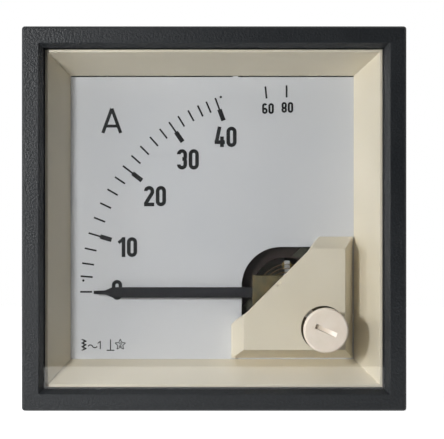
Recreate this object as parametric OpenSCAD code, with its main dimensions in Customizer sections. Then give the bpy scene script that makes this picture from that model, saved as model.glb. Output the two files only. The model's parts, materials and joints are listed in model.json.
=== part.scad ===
// Square panel ammeter with a quarter-circle scale and a moving-iron movement.
// X points right, Y points into the panel, Z points up. The origin is the middle
// of the bezel's rear face, which seats on the panel, so the front lies at -Y.

/* [Bezel and window] */
// Outside width and height of the bezel
bezel_size = 72; // [71.5:0.5:76]
// Distance the bezel stands in front of the panel
bezel_depth = 5.5; // [5:0.25:7]
// Flat border around the opening at the front
bezel_border = 3.1; // [2.8:0.1:3.4]
// Inward slope of the opening from the front to the window
bezel_slope = 0.9; // [0.6:0.1:1.2]
// Chamfer along the front outer edge
bezel_chamfer = 0.35; // [0.2:0.05:0.6]
// Radius of the outer corners
bezel_corner_r = 0.6; // [0.4:0.1:1.5]
// Depth of the window behind the front of the bezel
window_setback = 1.3; // [1.2:0.1:1.6]
// Thickness of the window glass
window_t = 2; // [1.8:0.1:2.2]

/* [Case] */
// Distance the bezel stands out past the case, which fits a 68 mm panel cut-out
bezel_overlap = 2.25; // [2.15:0.05:2.4]
// Depth of the case behind the panel
case_depth = 48; // [46:1:60]
// Thickness of the side walls
case_wall = 1.8; // [1.6:0.1:1.9]
// Thickness of the rear wall
rear_wall = 2.5; // [2:0.25:3]
// Radius of the outer corners of the case
case_corner_r = 1.2; // [0.8:0.2:1.6]
// Height of the ribs that carry the scale plate
rib_h = 3; // [2.6:0.1:3.2]
// Thickness of the ribs
rib_t = 1.6; // [1.2:0.2:2]
// Spacing of the notches for the screw clamps
notch_pitch = 4; // [3.5:0.5:4.5]
// Number of notches in each row
notch_count = 6; // [4:1:7]

/* [Scale] */
// Inward step from the bezel's lip to the front edge of the sloping frame
frame_inset = 0.7; // [0.6:0.05:0.9]
// Inward slope of the frame from the window to the scale
frame_slope = 3.9; // [3.6:0.1:4]
// Depth of the scale plate's face behind the panel's front
scale_y = 7.5; // [7.4:0.1:8]
// Thickness of the scale plate
scale_t = 0.5; // [0.4:0.1:0.6]
// Open line between the frame and the upper edge of the scale plate
scale_gap = 0.2; // [0.1:0.05:0.3]
// Wall of the sloping frame
frame_wall = 1.2; // [1:0.1:1.3]

/* [Movement cover] */
// Height of the cover above the scale plate
cover_h = 6.7; // [6.6:0.05:6.8]
// Inward slope of the cover's sides over its height
cover_slope = 2.1; // [1.9:0.1:2.2]
// Thickness of the cover's lid
cover_lid_t = 1.2; // [1:0.1:1.25]
// Thickness of the cover's sides
cover_wall = 1; // [0.9:0.1:1.1]
// Width and height of the cover at the scale
cover_side = 23.5; // [23.2:0.1:23.8]
// Gap between the cover and the frame
cover_gap = 0.2; // [0.1:0.05:0.3]
// Distance from the pivot to the open diagonal side
cover_open = 3.1; // [3:0.1:3.3]

/* [Zero adjuster] */
// Diameter of the adjuster's head
adjuster_d = 8.5; // [8:0.1:9]
// Thickness of the adjuster's head
adjuster_head_t = 0.85; // [0.8:0.05:0.95]
// Distance of the adjuster from the right and lower edges of the scale
adjuster_inset = 6.4; // [6.1:0.1:6.5]
// Length of the screwdriver slot
slot_len = 4.3; // [4:0.1:5]
// Width of the screwdriver slot
slot_w = 0.9; // [0.8:0.1:1]
// Depth of the screwdriver slot
slot_depth = 0.8; // [0.5:0.05:0.85]
// Shift of the slot's deepest point to the left
slot_skew = 1.1; // [0:0.1:1.5]
// Angle by which the slot falls to the right
slot_angle = 24; // [0:1:45]
// Offset of the eccentric pin
pin_throw = 1; // [0.9:0.05:1.1]
// Diameter of the eccentric pin
pin_d = 1; // [0.9:0.05:1.1]

/* [Pointer and balance] */
// Distance of the pivot from the right and lower edges of the scale
pivot_inset = 13; // [12.8:0.1:13.2]
// Distance from the tip of the pointer to the left edge of the scale
tip_margin = 4.5; // [4:0.1:5.5]
// Width of the pointer
pointer_w = 2; // [1.6:0.1:2.2]
// Thickness of the pointer
pointer_t = 0.3; // [0.25:0.05:0.35]
// Length of the narrow tip
tip_len = 2.2; // [2:0.1:3]
// Length of the shoulder behind the tip
shoulder_len = 1.4; // [1:0.1:2]
// Width of the narrow tip
tip_w = 0.75; // [0.6:0.05:0.9]
// Distance of the balance weights from the pivot
weight_at = 5.2; // [5:0.1:5.3]
// Radius of the balance weights
weight_r = 1.5; // [1.4:0.05:1.55]
// Length of the weight opposite the pointer
weight_len = 0.7; // [0.6:0.05:0.9]

/* [Bearings and spring] */
// Diameter of the spindle
spindle_d = 1.2; // [1:0.1:1.3]
// Diameter of the jewel screws
jewel_d = 2.5; // [2.3:0.1:2.6]
// Number of turns of the hairspring
spring_turns = 6; // [4:1:7]
// Thickness of the hairspring
spring_t = 0.12; // [0.1:0.01:0.16]
// Width of the hairspring
spring_w = 0.5; // [0.4:0.05:0.6]
// Thickness of the front bridge
bridge_t = 0.8; // [0.7:0.05:0.85]
// Width of the front bridge
bridge_w = 6.7; // [6.4:0.1:6.8]
// Distance of the bridge pillars from the pivot
pillar_at = 8.6; // [8.5:0.05:8.7]
// Diameter of the bridge pillars
pillar_d = 3; // [2.8:0.1:3.1]

/* [Coil and irons] */
// Diameter of the copper wire
wire_d = 2.8; // [2.4:0.1:2.8]
// Number of turns of the coil
coil_turns = 5; // [3:1:5]
// Distance from turn to turn
coil_pitch = 2.9; // [2.85:0.05:3]
// Radius of the bobbin's bore
bobbin_bore_r = 6.5; // [6.3:0.1:6.6]
// Wall of the bobbin
bobbin_wall = 1.2; // [1:0.1:1.3]
// Radius of the bobbin's flanges
flange_r = 12; // [11.5:0.1:12.2]
// Thickness of the bobbin's flanges
flange_t = 1.5; // [1.3:0.1:1.6]
// Thickness of the irons
iron_t = 0.6; // [0.5:0.1:0.8]
// Length of the irons
iron_len = 13; // [10:0.5:14]
// Angle that the fixed iron covers
fixed_iron_angle = 110; // [90:5:130]
// Angle that the moving iron covers
moving_iron_angle = 55; // [40:5:70]

/* [Damping] */
// Radius of the air chamber inside
chamber_r = 13.6; // [12.5:0.1:14]
// Depth of the air chamber inside
chamber_depth = 4; // [3.6:0.1:4.4]
// Wall of the air chamber
chamber_wall = 0.9; // [0.8:0.05:1.1]
// Gap around the damping vane
vane_gap = 0.4; // [0.3:0.05:0.5]
// Thickness of the damping vane
vane_t = 0.3; // [0.2:0.05:0.4]

/* [Terminals] */
// Distance of the terminal studs from the sides of the case
stud_inset = 17.75; // [17.25:0.25:18.75]
// Height of the terminal studs above the middle
stud_z = 4; // [3:0.5:6]
// Diameter of the terminal studs
stud_d = 6; // [5:0.5:6]
// Length of the studs behind the case
stud_len = 18.5; // [18:0.5:22]
// Width of the nuts across the flats
nut_af = 10; // [9:0.5:10]
// Thickness of the nuts
nut_t = 5; // [4.5:0.1:5]
// Thickness of the flat washers
washer_t = 1.6; // [1:0.1:1.6]
// Outside diameter of the flat washers
washer_d = 12.5; // [11:0.5:12.5]

/* [Clearances] */
// Gap between pieces that are pushed together
fit_gap = 0.15; // [0.1:0.05:0.2]
// Radial clearance of a piece that turns
run_gap = 0.05; // [0.03:0.01:0.08]
// Radial clearance of a pressed or threaded piece
tight_gap = 0.02; // [0.01:0.01:0.03]
// Gap between moving pieces that pass each other
air_gap = 0.4; // [0.35:0.05:0.45]

/* [Hidden] */
$fn = 48;
cut = 0.5;

bezel_half = bezel_size / 2;
front_y = -bezel_depth;
window_y = front_y + window_setback;
window_back_y = window_y + window_t;
opening_half = bezel_half - bezel_border;
lip_half = opening_half - bezel_slope;
case_half = bezel_half - bezel_overlap;
case_in = case_half - case_wall;
case_floor_y = case_depth - rear_wall;
pocket_half = case_half + fit_gap;
window_half = case_half - fit_gap;

snap_len = 12;
snap_h = 0.35;
snap_y = window_back_y / 2;
snap_at = 18;

frame_y = window_back_y;
frame_front_half = lip_half - frame_inset;
scale_half = frame_front_half - frame_slope;
frame_half = case_in - fit_gap;
frame_skirt = 1;
frame_lip = 1.4;
scale_back_y = scale_y + scale_t;
scale_plate_half = case_in - fit_gap;
gusset_at = scale_half - 7.4;
tab_x = 4;
tab_w = 1;

rib_far = case_in - 10;
rib_near = rib_far - 14;
rib_places = [-rib_far, -rib_near, rib_near, rib_far];
notch_w = 8;
notch_len = notch_pitch / 2;
notch_depth = case_wall / 2;
notch_y = 9;
notch_z = 20;

// The pivot and the adjuster lie on the diagonal towards the lower right corner
pivot_at = scale_half - pivot_inset;
adjuster_at = scale_half - adjuster_inset;
pivot = [pivot_at, 0, -pivot_at];
adjuster = [adjuster_at, 0, -adjuster_at];
adjuster_span = (adjuster_at - pivot_at) * sqrt(2);
lever_ratio = pin_throw / (adjuster_span + pin_throw);

cover_far = scale_half - cover_gap;
cover_edge = cover_far - cover_side;
cover_mid = cover_edge + cover_side / 2;
cover_y = scale_y - cover_h;
cover_in_y = cover_y + cover_lid_t;
cover_hole_r = adjuster_d / 2 + run_gap;
cover_diagonal = 2 * pivot_at - cover_open * sqrt(2);
lid_chamfer = 0.9;
peg_d = 1;
peg_len = scale_t + 0.15;
peg_far = cover_far - cover_wall / 2;
peg_near = cover_edge + cover_wall / 2;
pegs = [[peg_far, -peg_near], [peg_near, -peg_far], [peg_far, -peg_far]];

// Cut-out of the scale plate in front of the movement
cutout_near = cover_edge + 2;
cutout_far = peg_far - peg_d;
cutout_r = 7.6;

adjuster_y = window_y - fit_gap - adjuster_head_t;
head_round = 0.45;
neck_d = 4.9;
shaft_d = 3.5;
collar_d = 6.6;
collar_t = 0.8;
neck_end_y = window_back_y + run_gap;

jewel_head_y = cover_in_y + air_gap * 0.75;
jewel_head_t = 0.45;
jewel_head_r = jewel_d / 2 + 0.6;
drive_w = 0.4;
drive_depth = 0.3;
lever_y = jewel_head_y + jewel_head_t + run_gap;
lever_t = 0.4;
bridge_y = lever_y + lever_t + run_gap;
bridge_back_y = bridge_y + bridge_t;
shaft_end_y = lever_y - air_gap;
pin_end_y = lever_y + lever_t + air_gap * 0.75;
lever_ring_r = jewel_d / 2 + run_gap + 1.1;
lever_w = 1.8;
fork_wall = 0.8;
fork_w = pin_d + 2 * fork_wall;
fork_r = adjuster_span + pin_throw + pin_d / 2 + fork_wall;
fork_root_r = adjuster_span + pin_throw - pin_d / 2 - 0.6;
tongue_r = 6.1;
tongue_t = 0.4;
tongue_w = 1;
bridge_left = 6.8;
bridge_right = pillar_at + 1.8;
bridge_screw_r = 1.4;
bridge_head_y = bridge_y - 0.7;
bridge_thread_r = 0.8;
thread_play = 0.5;

spring_y = bridge_back_y + air_gap;
spring_in_r = 1.35;
spring_steps = 24 * spring_turns;

pointer_r = pivot_at + scale_half - tip_margin;
hub_y = spring_y + spring_w + air_gap;
pointer_y = hub_y + 0.2;
pointer_back_y = pointer_y + pointer_t;
cross_t = 0.35;
cross_w = 1;
cross_y = pointer_back_y + run_gap;
cross_back_y = cross_y + cross_t;
hub_back_y = cross_back_y + 0.6;
hub_neck_r = 1.1;
hub_r = 1.8;
side_weight_r = 0.9;
side_weight_len = 1.2;

plate_y = scale_back_y + 1.6;
pillar_floor_y = plate_y - 1;
plate_t = 1;
plate_back_y = plate_y + plate_t;
post_at = 11.5;
post_near = 9.8;
posts = [
    [pivot_at + post_at, -(pivot_at - post_near)],
    [pivot_at - post_near, -(pivot_at + post_at)],
    [pivot_at + post_at, -(pivot_at + post_at)]
];
post_r = 2.6;
post_screw_r = 1.5;
post_screw_len = 9;
plate_edge = 0.25;
plate_near = pivot_at - post_near - post_r - plate_edge;
plate_far = pivot_at + post_at + post_r + plate_edge;
plate_hole_r = 7;
plate_diagonal = cover_diagonal - 1.2;

coil_r = bobbin_bore_r + bobbin_wall + fit_gap + wire_d / 2;
bobbin_y = plate_back_y;
coil_y = bobbin_y + flange_t + fit_gap + wire_d / 2;
coil_len = coil_turns * coil_pitch;
coil_end_y = coil_y + coil_len;
bobbin_end_y = coil_end_y + wire_d / 2 + fit_gap + flange_t;

chamber_y = bobbin_end_y;
chamber_floor_y = chamber_y + chamber_wall;
chamber_end_y = chamber_floor_y + chamber_depth;
chamber_from = 78;
chamber_to = 192;
chamber_hub_r = 3.6;
lid_end_y = chamber_end_y + 1;
boss_end_y = lid_end_y + 1.5;
jewel_nut_t = 1;
jewel_nut_af = 4.5;
rear_jewel_y = chamber_end_y - 0.2;
rear_jewel_end_y = boss_end_y + jewel_nut_t + 0.6;

cup_r = 0.7;
cup_depth = 0.6;
cup_tip_r = 0.1;
tip_r = 0.05;
tip_h = 0.6;
spindle_y = bridge_back_y + 0.35;
spindle_end_y = rear_jewel_y - 0.15;
jewel_back_y = bridge_back_y + 0.2;

iron_y = bobbin_y + (bobbin_end_y - bobbin_y - iron_len) / 2;
moving_iron_r = 4.4;
// The irons rest opposite the pointer, a little low, so that they balance it
iron_middle = -8.7;
carrier_r = 1.3;
vane_y = chamber_floor_y + vane_gap;
vane_end_y = chamber_end_y - vane_gap;
vane_r = chamber_r - vane_gap;

stud_at = case_half - stud_inset;
boss_h = 1;
boss_r = 8;
pad_y = case_depth + boss_h;
lug_t = 1.2;
lug_y = case_floor_y - lug_t;
head_t = 4;
lug_reach = 9.2;
barrel_r = 2.2;
barrel_len = 8;
lug_r = nut_af / 2 + 1;
spring_washer_r = stud_d / 2 + 2.2;
spring_washer_slit = 0.7;
washer_play = 0.2;
nut_chamfer = 0.8;
thread_h = 0.6;
stack_1_y = pad_y + washer_t;
stack_2_y = stack_1_y + nut_t;
stack_3_y = stack_2_y + washer_t;
stack_4_y = stack_3_y + washer_t;
stud_point_y = stack_4_y + nut_t + washer_play;
stud_point_r = stud_d / 2 - thread_h;
right_barrel = [stud_at + lug_reach, 0, stud_z];
left_barrel = [-stud_at + lug_reach, 0, stud_z];
barrel_floor_y = lug_y - 0.3;
wire_end_y = barrel_floor_y - run_gap;

// ---- shapes used by several pieces ----

// Extrudes a flat shape, drawn in X and Z, from one depth to another
module along_y(from_y, to_y) {
    translate([0, to_y, 0])
        rotate([90, 0, 0])
            linear_extrude(to_y - from_y)
                children();
}

// Square with true arcs at its corners
module rounded_square(half, r) {
    square([2 * half, 2 * (half - r)], center = true);
    square([2 * (half - r), 2 * half], center = true);
    for (x = [-1, 1], z = [-1, 1])
        translate([x * (half - r), z * (half - r)])
            circle(r);
}

// Square block whose half width changes evenly from one depth to another
module taper(half_a, y_a, half_b, y_b) {
    outline = [[-half_a, y_a], [half_a, y_a], [half_b, y_b], [-half_b, y_b]];
    length = 2 * max(half_a, half_b);
    intersection() {
        linear_extrude(length, center = true)
            polygon(outline);
        rotate([0, 90, 0])
            linear_extrude(length, center = true)
                polygon(outline);
    }
}

// Part of a disc between two angles, less than half a turn apart
module sector(r, from_a, to_a) {
    far = 2 * r;
    mid = (from_a + to_a) / 2;
    intersection() {
        circle(r);
        polygon([
            [0, 0],
            far * [cos(from_a), sin(from_a)],
            far * [cos(mid), sin(mid)],
            far * [cos(to_a), sin(to_a)]
        ]);
    }
}

// Everything on the lower right of a diagonal line
module below_diagonal(sum) {
    reach = bezel_size;
    polygon([[sum - reach, -reach], [sum + reach, reach], [sum + reach, -reach]]);
}

// Round bar along the depth
module rod(r, from_y, to_y) {
    along_y(from_y, to_y)
        circle(r);
}

// Cone along the depth
module cone_y(r_a, y_a, r_b, y_b) {
    translate([0, y_a, 0])
        rotate([-90, 0, 0])
            cylinder(h = y_b - y_a, r1 = r_a, r2 = r_b);
}

// Hexagonal bar along the depth
module hex_rod(across_flats, from_y, to_y) {
    along_y(from_y, to_y)
        circle(across_flats / sqrt(3), $fn = 6);
}

// Screwdriver slot across a round head at the middle
module drive_slot(r, from_y, to_y) {
    translate([-r - cut, from_y, -drive_w / 2])
        cube([2 * (r + cut), to_y - from_y, drive_w]);
}

// ---- front of the meter ----

module snap_ridges(length, height, width) {
    for (turn = [0:90:270], place = [-snap_at, snap_at])
        rotate([0, turn, 0])
            translate([place - length / 2, snap_y - width / 2, case_half - height])
                cube([length, width, height + fit_gap + 0.01]);
}

module bezel() {
    color("#26272a") {
        difference() {
            intersection() {
                along_y(front_y, 0)
                    rounded_square(bezel_half, bezel_corner_r);
                union() {
                    taper(bezel_half - bezel_chamfer, front_y, bezel_half, front_y + bezel_chamfer);
                    along_y(front_y + bezel_chamfer, 0)
                        square(bezel_size, center = true);
                }
            }
            taper(opening_half, front_y, lip_half, window_y);
            along_y(front_y - cut, front_y + 0.01)
                square(2 * opening_half, center = true);
            along_y(window_y, cut)
                square(2 * pocket_half, center = true);
        }
        snap_ridges(snap_len, snap_h, snap_h * 2);
    }
}

module window() {
    color("#c8dce0", 0.3)
        difference() {
            along_y(window_y, window_back_y)
                square(2 * window_half, center = true);
            translate(adjuster)
                rod(neck_d / 2 + run_gap, window_y - cut, window_back_y + cut);
        }
}

module scale_frame() {
    // Half width of the sloping inner face at a given depth
    function inner(y) = frame_front_half
        + (scale_half - frame_front_half) * (y - frame_y) / (scale_y - frame_y);
    skirt_in = frame_half - frame_skirt;
    hollow_y = frame_y + frame_lip + frame_wall;
    color("#ddd6c4") {
        difference() {
            along_y(frame_y, scale_y)
                square(2 * frame_half, center = true);
            taper(inner(frame_y - cut), frame_y - cut, inner(scale_y + cut), scale_y + cut);
            difference() {
                along_y(hollow_y, scale_y + cut)
                    square(2 * skirt_in, center = true);
                taper(inner(hollow_y - cut) + frame_wall, hollow_y - cut,
                    inner(scale_y + 1) + frame_wall, scale_y + 1);
            }
        }
        for (turn = [0:90:270], place = [-gusset_at, 0, gusset_at])
            rotate([0, turn, 0])
                difference() {
                    translate([place - rib_t / 4, hollow_y - 0.1, inner(hollow_y)])
                        cube([rib_t / 2, scale_y - hollow_y + 0.1, skirt_in + 0.1 - inner(hollow_y)]);
                    taper(inner(frame_y - cut), frame_y - cut, inner(scale_y + cut), scale_y + cut);
                }
    }
}

module scale_plate() {
    near = cutout_near;
    far = cutout_far;
    color("#d6d8dc")
        along_y(scale_y, scale_back_y)
            difference() {
                union() {
                    translate([-scale_plate_half, -scale_plate_half])
                        square([2 * scale_plate_half, scale_plate_half + scale_half - scale_gap]);
                    translate([tab_x, 0])
                        square([tab_w, scale_plate_half]);
                }
                translate([near + cutout_r, -(near + cutout_r)])
                    circle(cutout_r);
                translate([near + cutout_r, -far])
                    square([far - near - cutout_r, far - near]);
                translate([near, -far])
                    square([far - near, far - near - cutout_r]);
                for (p = pegs)
                    translate(p)
                        circle(peg_d / 2 + run_gap, $fn = 24);
            }
}

module movement_cover() {
    half_base = cover_side / 2;
    half_face = half_base - cover_slope;
    // Half width of the hollow at a given depth
    function hollow(y) = half_face - cover_wall
        + cover_slope * (y - cover_y) / cover_h;
    color("#ded7c4")
        difference() {
            union() {
                intersection() {
                    translate([cover_mid, 0, -cover_mid])
                        taper(half_face, cover_y, half_base, scale_y);
                    union() {
                        along_y(cover_y + lid_chamfer / 2, scale_y)
                            below_diagonal(cover_diagonal);
                        along_y(cover_y, scale_y)
                            below_diagonal(cover_diagonal + lid_chamfer);
                        difference() {
                            along_y(cover_y, cover_y + lid_chamfer)
                                below_diagonal(cover_diagonal);
                            lid_edge_cut();
                        }
                    }
                }
                for (p = pegs)
                    translate([p[0], 0, p[1]])
                        rod(peg_d / 2, scale_y - cover_wall, scale_y + peg_len, $fn = 24);
            }
            translate([cover_mid, 0, -cover_mid])
                taper(hollow(cover_in_y), cover_in_y, hollow(scale_y + cut), scale_y + cut);
            translate(adjuster)
                rod(cover_hole_r, cover_y - cut, cover_in_y + cut);
        }
}

// Wedge that bevels the lid along the open diagonal side
module lid_edge_cut() {
    reach = bezel_size;
    translate([cover_diagonal / 2, cover_y, -cover_diagonal / 2])
        rotate([0, -45, 0])
            linear_extrude(reach, center = true)
                polygon([
                    [-cut, -cut],
                    [lid_chamfer / sqrt(2), -cut],
                    [lid_chamfer / sqrt(2), 0],
                    [0, lid_chamfer / 2],
                    [-cut, lid_chamfer / 2]
                ]);
}

// ---- zero adjuster ----

module zero_adjuster() {
    scoop_len = slot_len / 2 + slot_skew;
    scoop_r = (scoop_len * scoop_len + slot_depth * slot_depth) / (2 * slot_depth);
    head_r = adjuster_d / 2;
    color("#e6dccf")
        translate(adjuster)
            difference() {
                union() {
                    rod(head_r, adjuster_y + head_round, adjuster_y + adjuster_head_t);
                    rod(head_r - head_round, adjuster_y, adjuster_y + head_round + 0.01);
                    translate([0, adjuster_y + head_round, 0])
                        rotate([90, 0, 0])
                            rotate_extrude()
                                translate([head_r - head_round, 0])
                                    intersection() {
                                        circle(head_round, $fn = 24);
                                        square(head_round);
                                    }
                    rod(neck_d / 2, adjuster_y + adjuster_head_t, neck_end_y);
                    rod(shaft_d / 2, neck_end_y, shaft_end_y);
                    rotate([0, 45, 0])
                        translate([pin_throw, 0, 0])
                            rod(pin_d / 2, shaft_end_y - pin_d / 2, pin_end_y, $fn = 24);
                }
                rotate([0, slot_angle, 0])
                    intersection() {
                        translate([-slot_skew, adjuster_y + slot_depth - scoop_r, 0])
                            cylinder(h = slot_w, r = scoop_r, center = true, $fn = 96);
                        translate([0, adjuster_y, 0])
                            cube([slot_len, 2 * slot_depth + cut, 2 * slot_w], center = true);
                    }
            }
}

module adjuster_collar() {
    color("#d9cfc0")
        translate(adjuster)
            along_y(neck_end_y, neck_end_y + collar_t)
                difference() {
                    circle(collar_d / 2);
                    circle(shaft_d / 2 + tight_gap);
                }
}

module zero_lever() {
    slot_half = pin_d / 2 + run_gap;
    color("#b9bcc0")
        translate(pivot)
            rotate([0, 45, 0]) {
                along_y(lever_y, lever_y + lever_t)
                    difference() {
                        union() {
                            circle(lever_ring_r);
                            translate([0, -lever_w / 2])
                                square([fork_root_r, lever_w]);
                            translate([fork_root_r - fork_wall, -fork_w / 2])
                                square([fork_r - fork_root_r + fork_wall, fork_w]);
                        }
                        circle(jewel_d / 2 + run_gap);
                        translate([fork_root_r, -slot_half])
                            square([fork_r, 2 * slot_half]);
                    }
                translate([tongue_r, lever_y + lever_t / 2, -tongue_w / 2])
                    cube([tongue_t, spring_y + spring_w - lever_y - lever_t / 2, tongue_w]);
            }
}

module hairspring() {
    out_r = tongue_r - spring_t;
    function spiral_r(i) = spring_in_r + (out_r - spring_in_r) * i / spring_steps;
    function spiral_a(i) = -45 - 360 * spring_turns * (1 - i / spring_steps);
    function edge(i, side) = (spiral_r(i) + side * spring_t / 2)
        * [cos(spiral_a(i)), sin(spiral_a(i))];
    color("#7f8a99")
        translate(pivot)
            along_y(spring_y, spring_y + spring_w)
                polygon(concat(
                    [for (i = [0:spring_steps]) edge(i, 1)],
                    [for (i = [spring_steps:-1:0]) edge(i, -1)]
                ));
}

// ---- bearings ----

module front_jewel_screw() {
    color("#c9a24b")
        translate(pivot)
            difference() {
                union() {
                    rod(jewel_head_r, jewel_head_y, jewel_head_y + jewel_head_t);
                    rod(jewel_d / 2, jewel_head_y + jewel_head_t, jewel_back_y);
                }
                drive_slot(jewel_head_r, jewel_head_y - cut, jewel_head_y + drive_depth);
                cone_y(cup_tip_r, jewel_back_y - cup_depth, cup_r, jewel_back_y + 0.01);
            }
}

module front_bridge() {
    color("#4b4433")
        translate(pivot)
            along_y(bridge_y, bridge_back_y)
                difference() {
                    union() {
                        translate([-bridge_left, -bridge_w / 2])
                            square([bridge_left + bridge_right, bridge_w]);
                        translate([-bridge_w / 2, -bridge_right])
                            square([bridge_w, bridge_right]);
                    }
                    circle(jewel_d / 2 + tight_gap);
                    for (a = [0, -90])
                        rotate(a)
                            translate([pillar_at, 0])
                                circle(bridge_thread_r + tight_gap, $fn = 24);
                }
}

// Places its child on both pillars of the front bridge
module at_pillars() {
    for (a = [0, 90])
        translate(pivot)
            rotate([0, a, 0])
                translate([pillar_at, 0, 0])
                    children();
}

module bridge_pillars() {
    color("#c2a35a")
        at_pillars()
            difference() {
                rod(pillar_d / 2, bridge_back_y, plate_y);
                rod(bridge_thread_r + tight_gap, bridge_back_y - cut, pillar_floor_y, $fn = 24);
            }
}

module bridge_screws() {
    color("#9a9da1")
        at_pillars()
            difference() {
                union() {
                    rod(bridge_screw_r, bridge_head_y, bridge_y);
                    rod(bridge_thread_r, bridge_y, pillar_floor_y - thread_play, $fn = 24);
                }
                drive_slot(bridge_screw_r, bridge_head_y - cut, bridge_head_y + drive_depth);
            }
}

module spindle() {
    color("#8e949b")
        translate(pivot) {
            rod(spindle_d / 2, spindle_y, spindle_end_y, $fn = 24);
            cone_y(tip_r, spindle_y - tip_h, spindle_d / 2, spindle_y, $fn = 24);
            cone_y(spindle_d / 2, spindle_end_y, tip_r, spindle_end_y + tip_h, $fn = 24);
        }
}

module spring_collet() {
    color("#c9a24b")
        translate(pivot)
            along_y(spring_y - 0.05, spring_y + spring_w + 0.1)
                difference() {
                    circle(spring_in_r - spring_t / 2 - tight_gap);
                    circle(spindle_d / 2 + tight_gap, $fn = 24);
                }
}

module rear_jewel_screw() {
    color("#c9a24b")
        translate(pivot)
            difference() {
                rod(jewel_d / 2, rear_jewel_y, rear_jewel_end_y);
                cone_y(cup_r, rear_jewel_y - 0.01, cup_tip_r, rear_jewel_y + cup_depth);
                drive_slot(jewel_d, rear_jewel_end_y - drive_depth, rear_jewel_end_y + cut);
            }
}

module rear_jewel_nut() {
    color("#c9a24b")
        translate(pivot)
            difference() {
                hex_rod(jewel_nut_af, boss_end_y, boss_end_y + jewel_nut_t);
                rod(jewel_d / 2 + tight_gap, boss_end_y - cut, boss_end_y + jewel_nut_t + cut);
            }
}

// ---- pointer ----

module pointer() {
    bar_end = pointer_r - tip_len - shoulder_len;
    color("#1c1d1f")
        translate(pivot)
            difference() {
                union() {
                    rod(hub_r + 0.4, pointer_y, pointer_back_y);
                    along_y(pointer_y, pointer_back_y)
                        polygon([
                            [0, -pointer_w / 2],
                            [-bar_end, -pointer_w / 2],
                            [-bar_end - shoulder_len, -tip_w / 2],
                            [-pointer_r, -tip_w * 0.4],
                            [-pointer_r, tip_w * 0.4],
                            [-bar_end - shoulder_len, tip_w / 2],
                            [-bar_end, pointer_w / 2],
                            [0, pointer_w / 2]
                        ]);
                }
                rod(hub_neck_r + tight_gap, pointer_y - cut, pointer_back_y + cut);
            }
}

module pointer_hub() {
    color("#c9a24b")
        translate(pivot)
            difference() {
                union() {
                    rod(hub_r, hub_y, pointer_y);
                    rod(hub_neck_r, pointer_y, cross_back_y);
                    rod(hub_r, cross_back_y, hub_back_y);
                }
                rod(spindle_d / 2 + tight_gap, hub_y - cut, hub_back_y + cut, $fn = 24);
            }
}

module balance_cross() {
    arm = weight_at + 0.9;
    color("#c8cacc")
        translate(pivot)
            along_y(cross_y, cross_back_y)
                difference() {
                    union() {
                        circle(hub_r);
                        translate([0, -cross_w / 2])
                            square([arm, cross_w]);
                        translate([-cross_w / 2, 0])
                            square([cross_w, arm]);
                    }
                    circle(hub_neck_r + tight_gap);
                }
}

module balance_weights() {
    color("#c9a24b")
        translate(pivot) {
            translate([weight_at, 0, 0])
                rod(weight_r, cross_back_y, cross_back_y + weight_len);
            translate([0, 0, weight_at])
                rod(side_weight_r, cross_back_y, cross_back_y + side_weight_len);
        }
}

// ---- coil, irons and damping ----

module movement_plate() {
    mid = (plate_near + plate_far) / 2;
    half = (plate_far - plate_near) / 2;
    color("#3c3c38")
        along_y(plate_y, plate_back_y)
            difference() {
                intersection() {
                    translate([mid, -mid])
                        rounded_square(half, 2);
                    below_diagonal(plate_diagonal);
                }
                translate([pivot[0], pivot[2]])
                    circle(plate_hole_r);
                for (p = posts)
                    translate(p)
                        circle(post_screw_r + 0.1);
            }
}

module movement_screws() {
    head_y = plate_y - 1.3;
    head_r = 2.5;
    recess_r = 1.6;
    recess_w = 0.6;
    recess_y = head_y + 0.7;
    color("#9a9da1")
        for (p = posts)
            translate([p[0], 0, p[1]])
                difference() {
                    union() {
                        rod(head_r, head_y, plate_y);
                        rod(post_screw_r, plate_y, plate_back_y + post_screw_len - thread_play);
                    }
                    for (a = [0, 90])
                        rotate([0, a, 0])
                            translate([-recess_r, head_y - cut, -recess_w / 2])
                                cube([2 * recess_r, recess_y - head_y + cut, recess_w]);
                }
}

module coil_bobbin() {
    tube_r = bobbin_bore_r + bobbin_wall;
    color("#2b2622")
        translate(pivot)
            difference() {
                union() {
                    rod(tube_r, bobbin_y, bobbin_end_y);
                    rod(flange_r, bobbin_y, bobbin_y + flange_t);
                    rod(flange_r, bobbin_end_y - flange_t, bobbin_end_y);
                }
                rod(bobbin_bore_r, bobbin_y - cut, bobbin_end_y + cut);
            }
}

// Route of the wire: in from the right lug, round the bobbin, out to the left lug
function on_coil(dx, y, dz) = [pivot[0] + dx, y, pivot[2] + dz];
coil_steps = 12;
coil_way = concat(
    [
        [right_barrel[0], wire_end_y, right_barrel[2]],
        [right_barrel[0], wire_end_y - barrel_len, right_barrel[2]],
        [right_barrel[0] - 0.2, coil_end_y, right_barrel[2] - 0.4],
        on_coil(9.8, coil_y + 8.4, 16.2),
        on_coil(8.8, coil_y + 3.9, 14),
        on_coil(7, coil_y + 1, coil_r + 2.6),
        on_coil(4, coil_y, coil_r + 0.7)
    ],
    [
        for (i = [0:coil_turns * coil_steps])
            let (a = 90 + 360 * i / coil_steps)
                on_coil(
                    coil_r * cos(a),
                    coil_y + coil_pitch * i / coil_steps,
                    coil_r * sin(a)
                )
    ],
    [
        on_coil(-3.4, coil_end_y, coil_r + 0.7),
        on_coil(-6.6, coil_end_y, coil_r + 3.4),
        on_coil(-10, coil_end_y + 0.7, coil_r + 6.4),
        on_coil(-14.5, coil_end_y + 1.8, coil_r + 8.4),
        [left_barrel[0] + 3.8, wire_end_y - barrel_len - 5.2, left_barrel[2] - 0.4],
        [left_barrel[0], wire_end_y - barrel_len - 2, left_barrel[2]],
        [left_barrel[0], wire_end_y - barrel_len, left_barrel[2]],
        [left_barrel[0], wire_end_y, left_barrel[2]]
    ]
);

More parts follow.
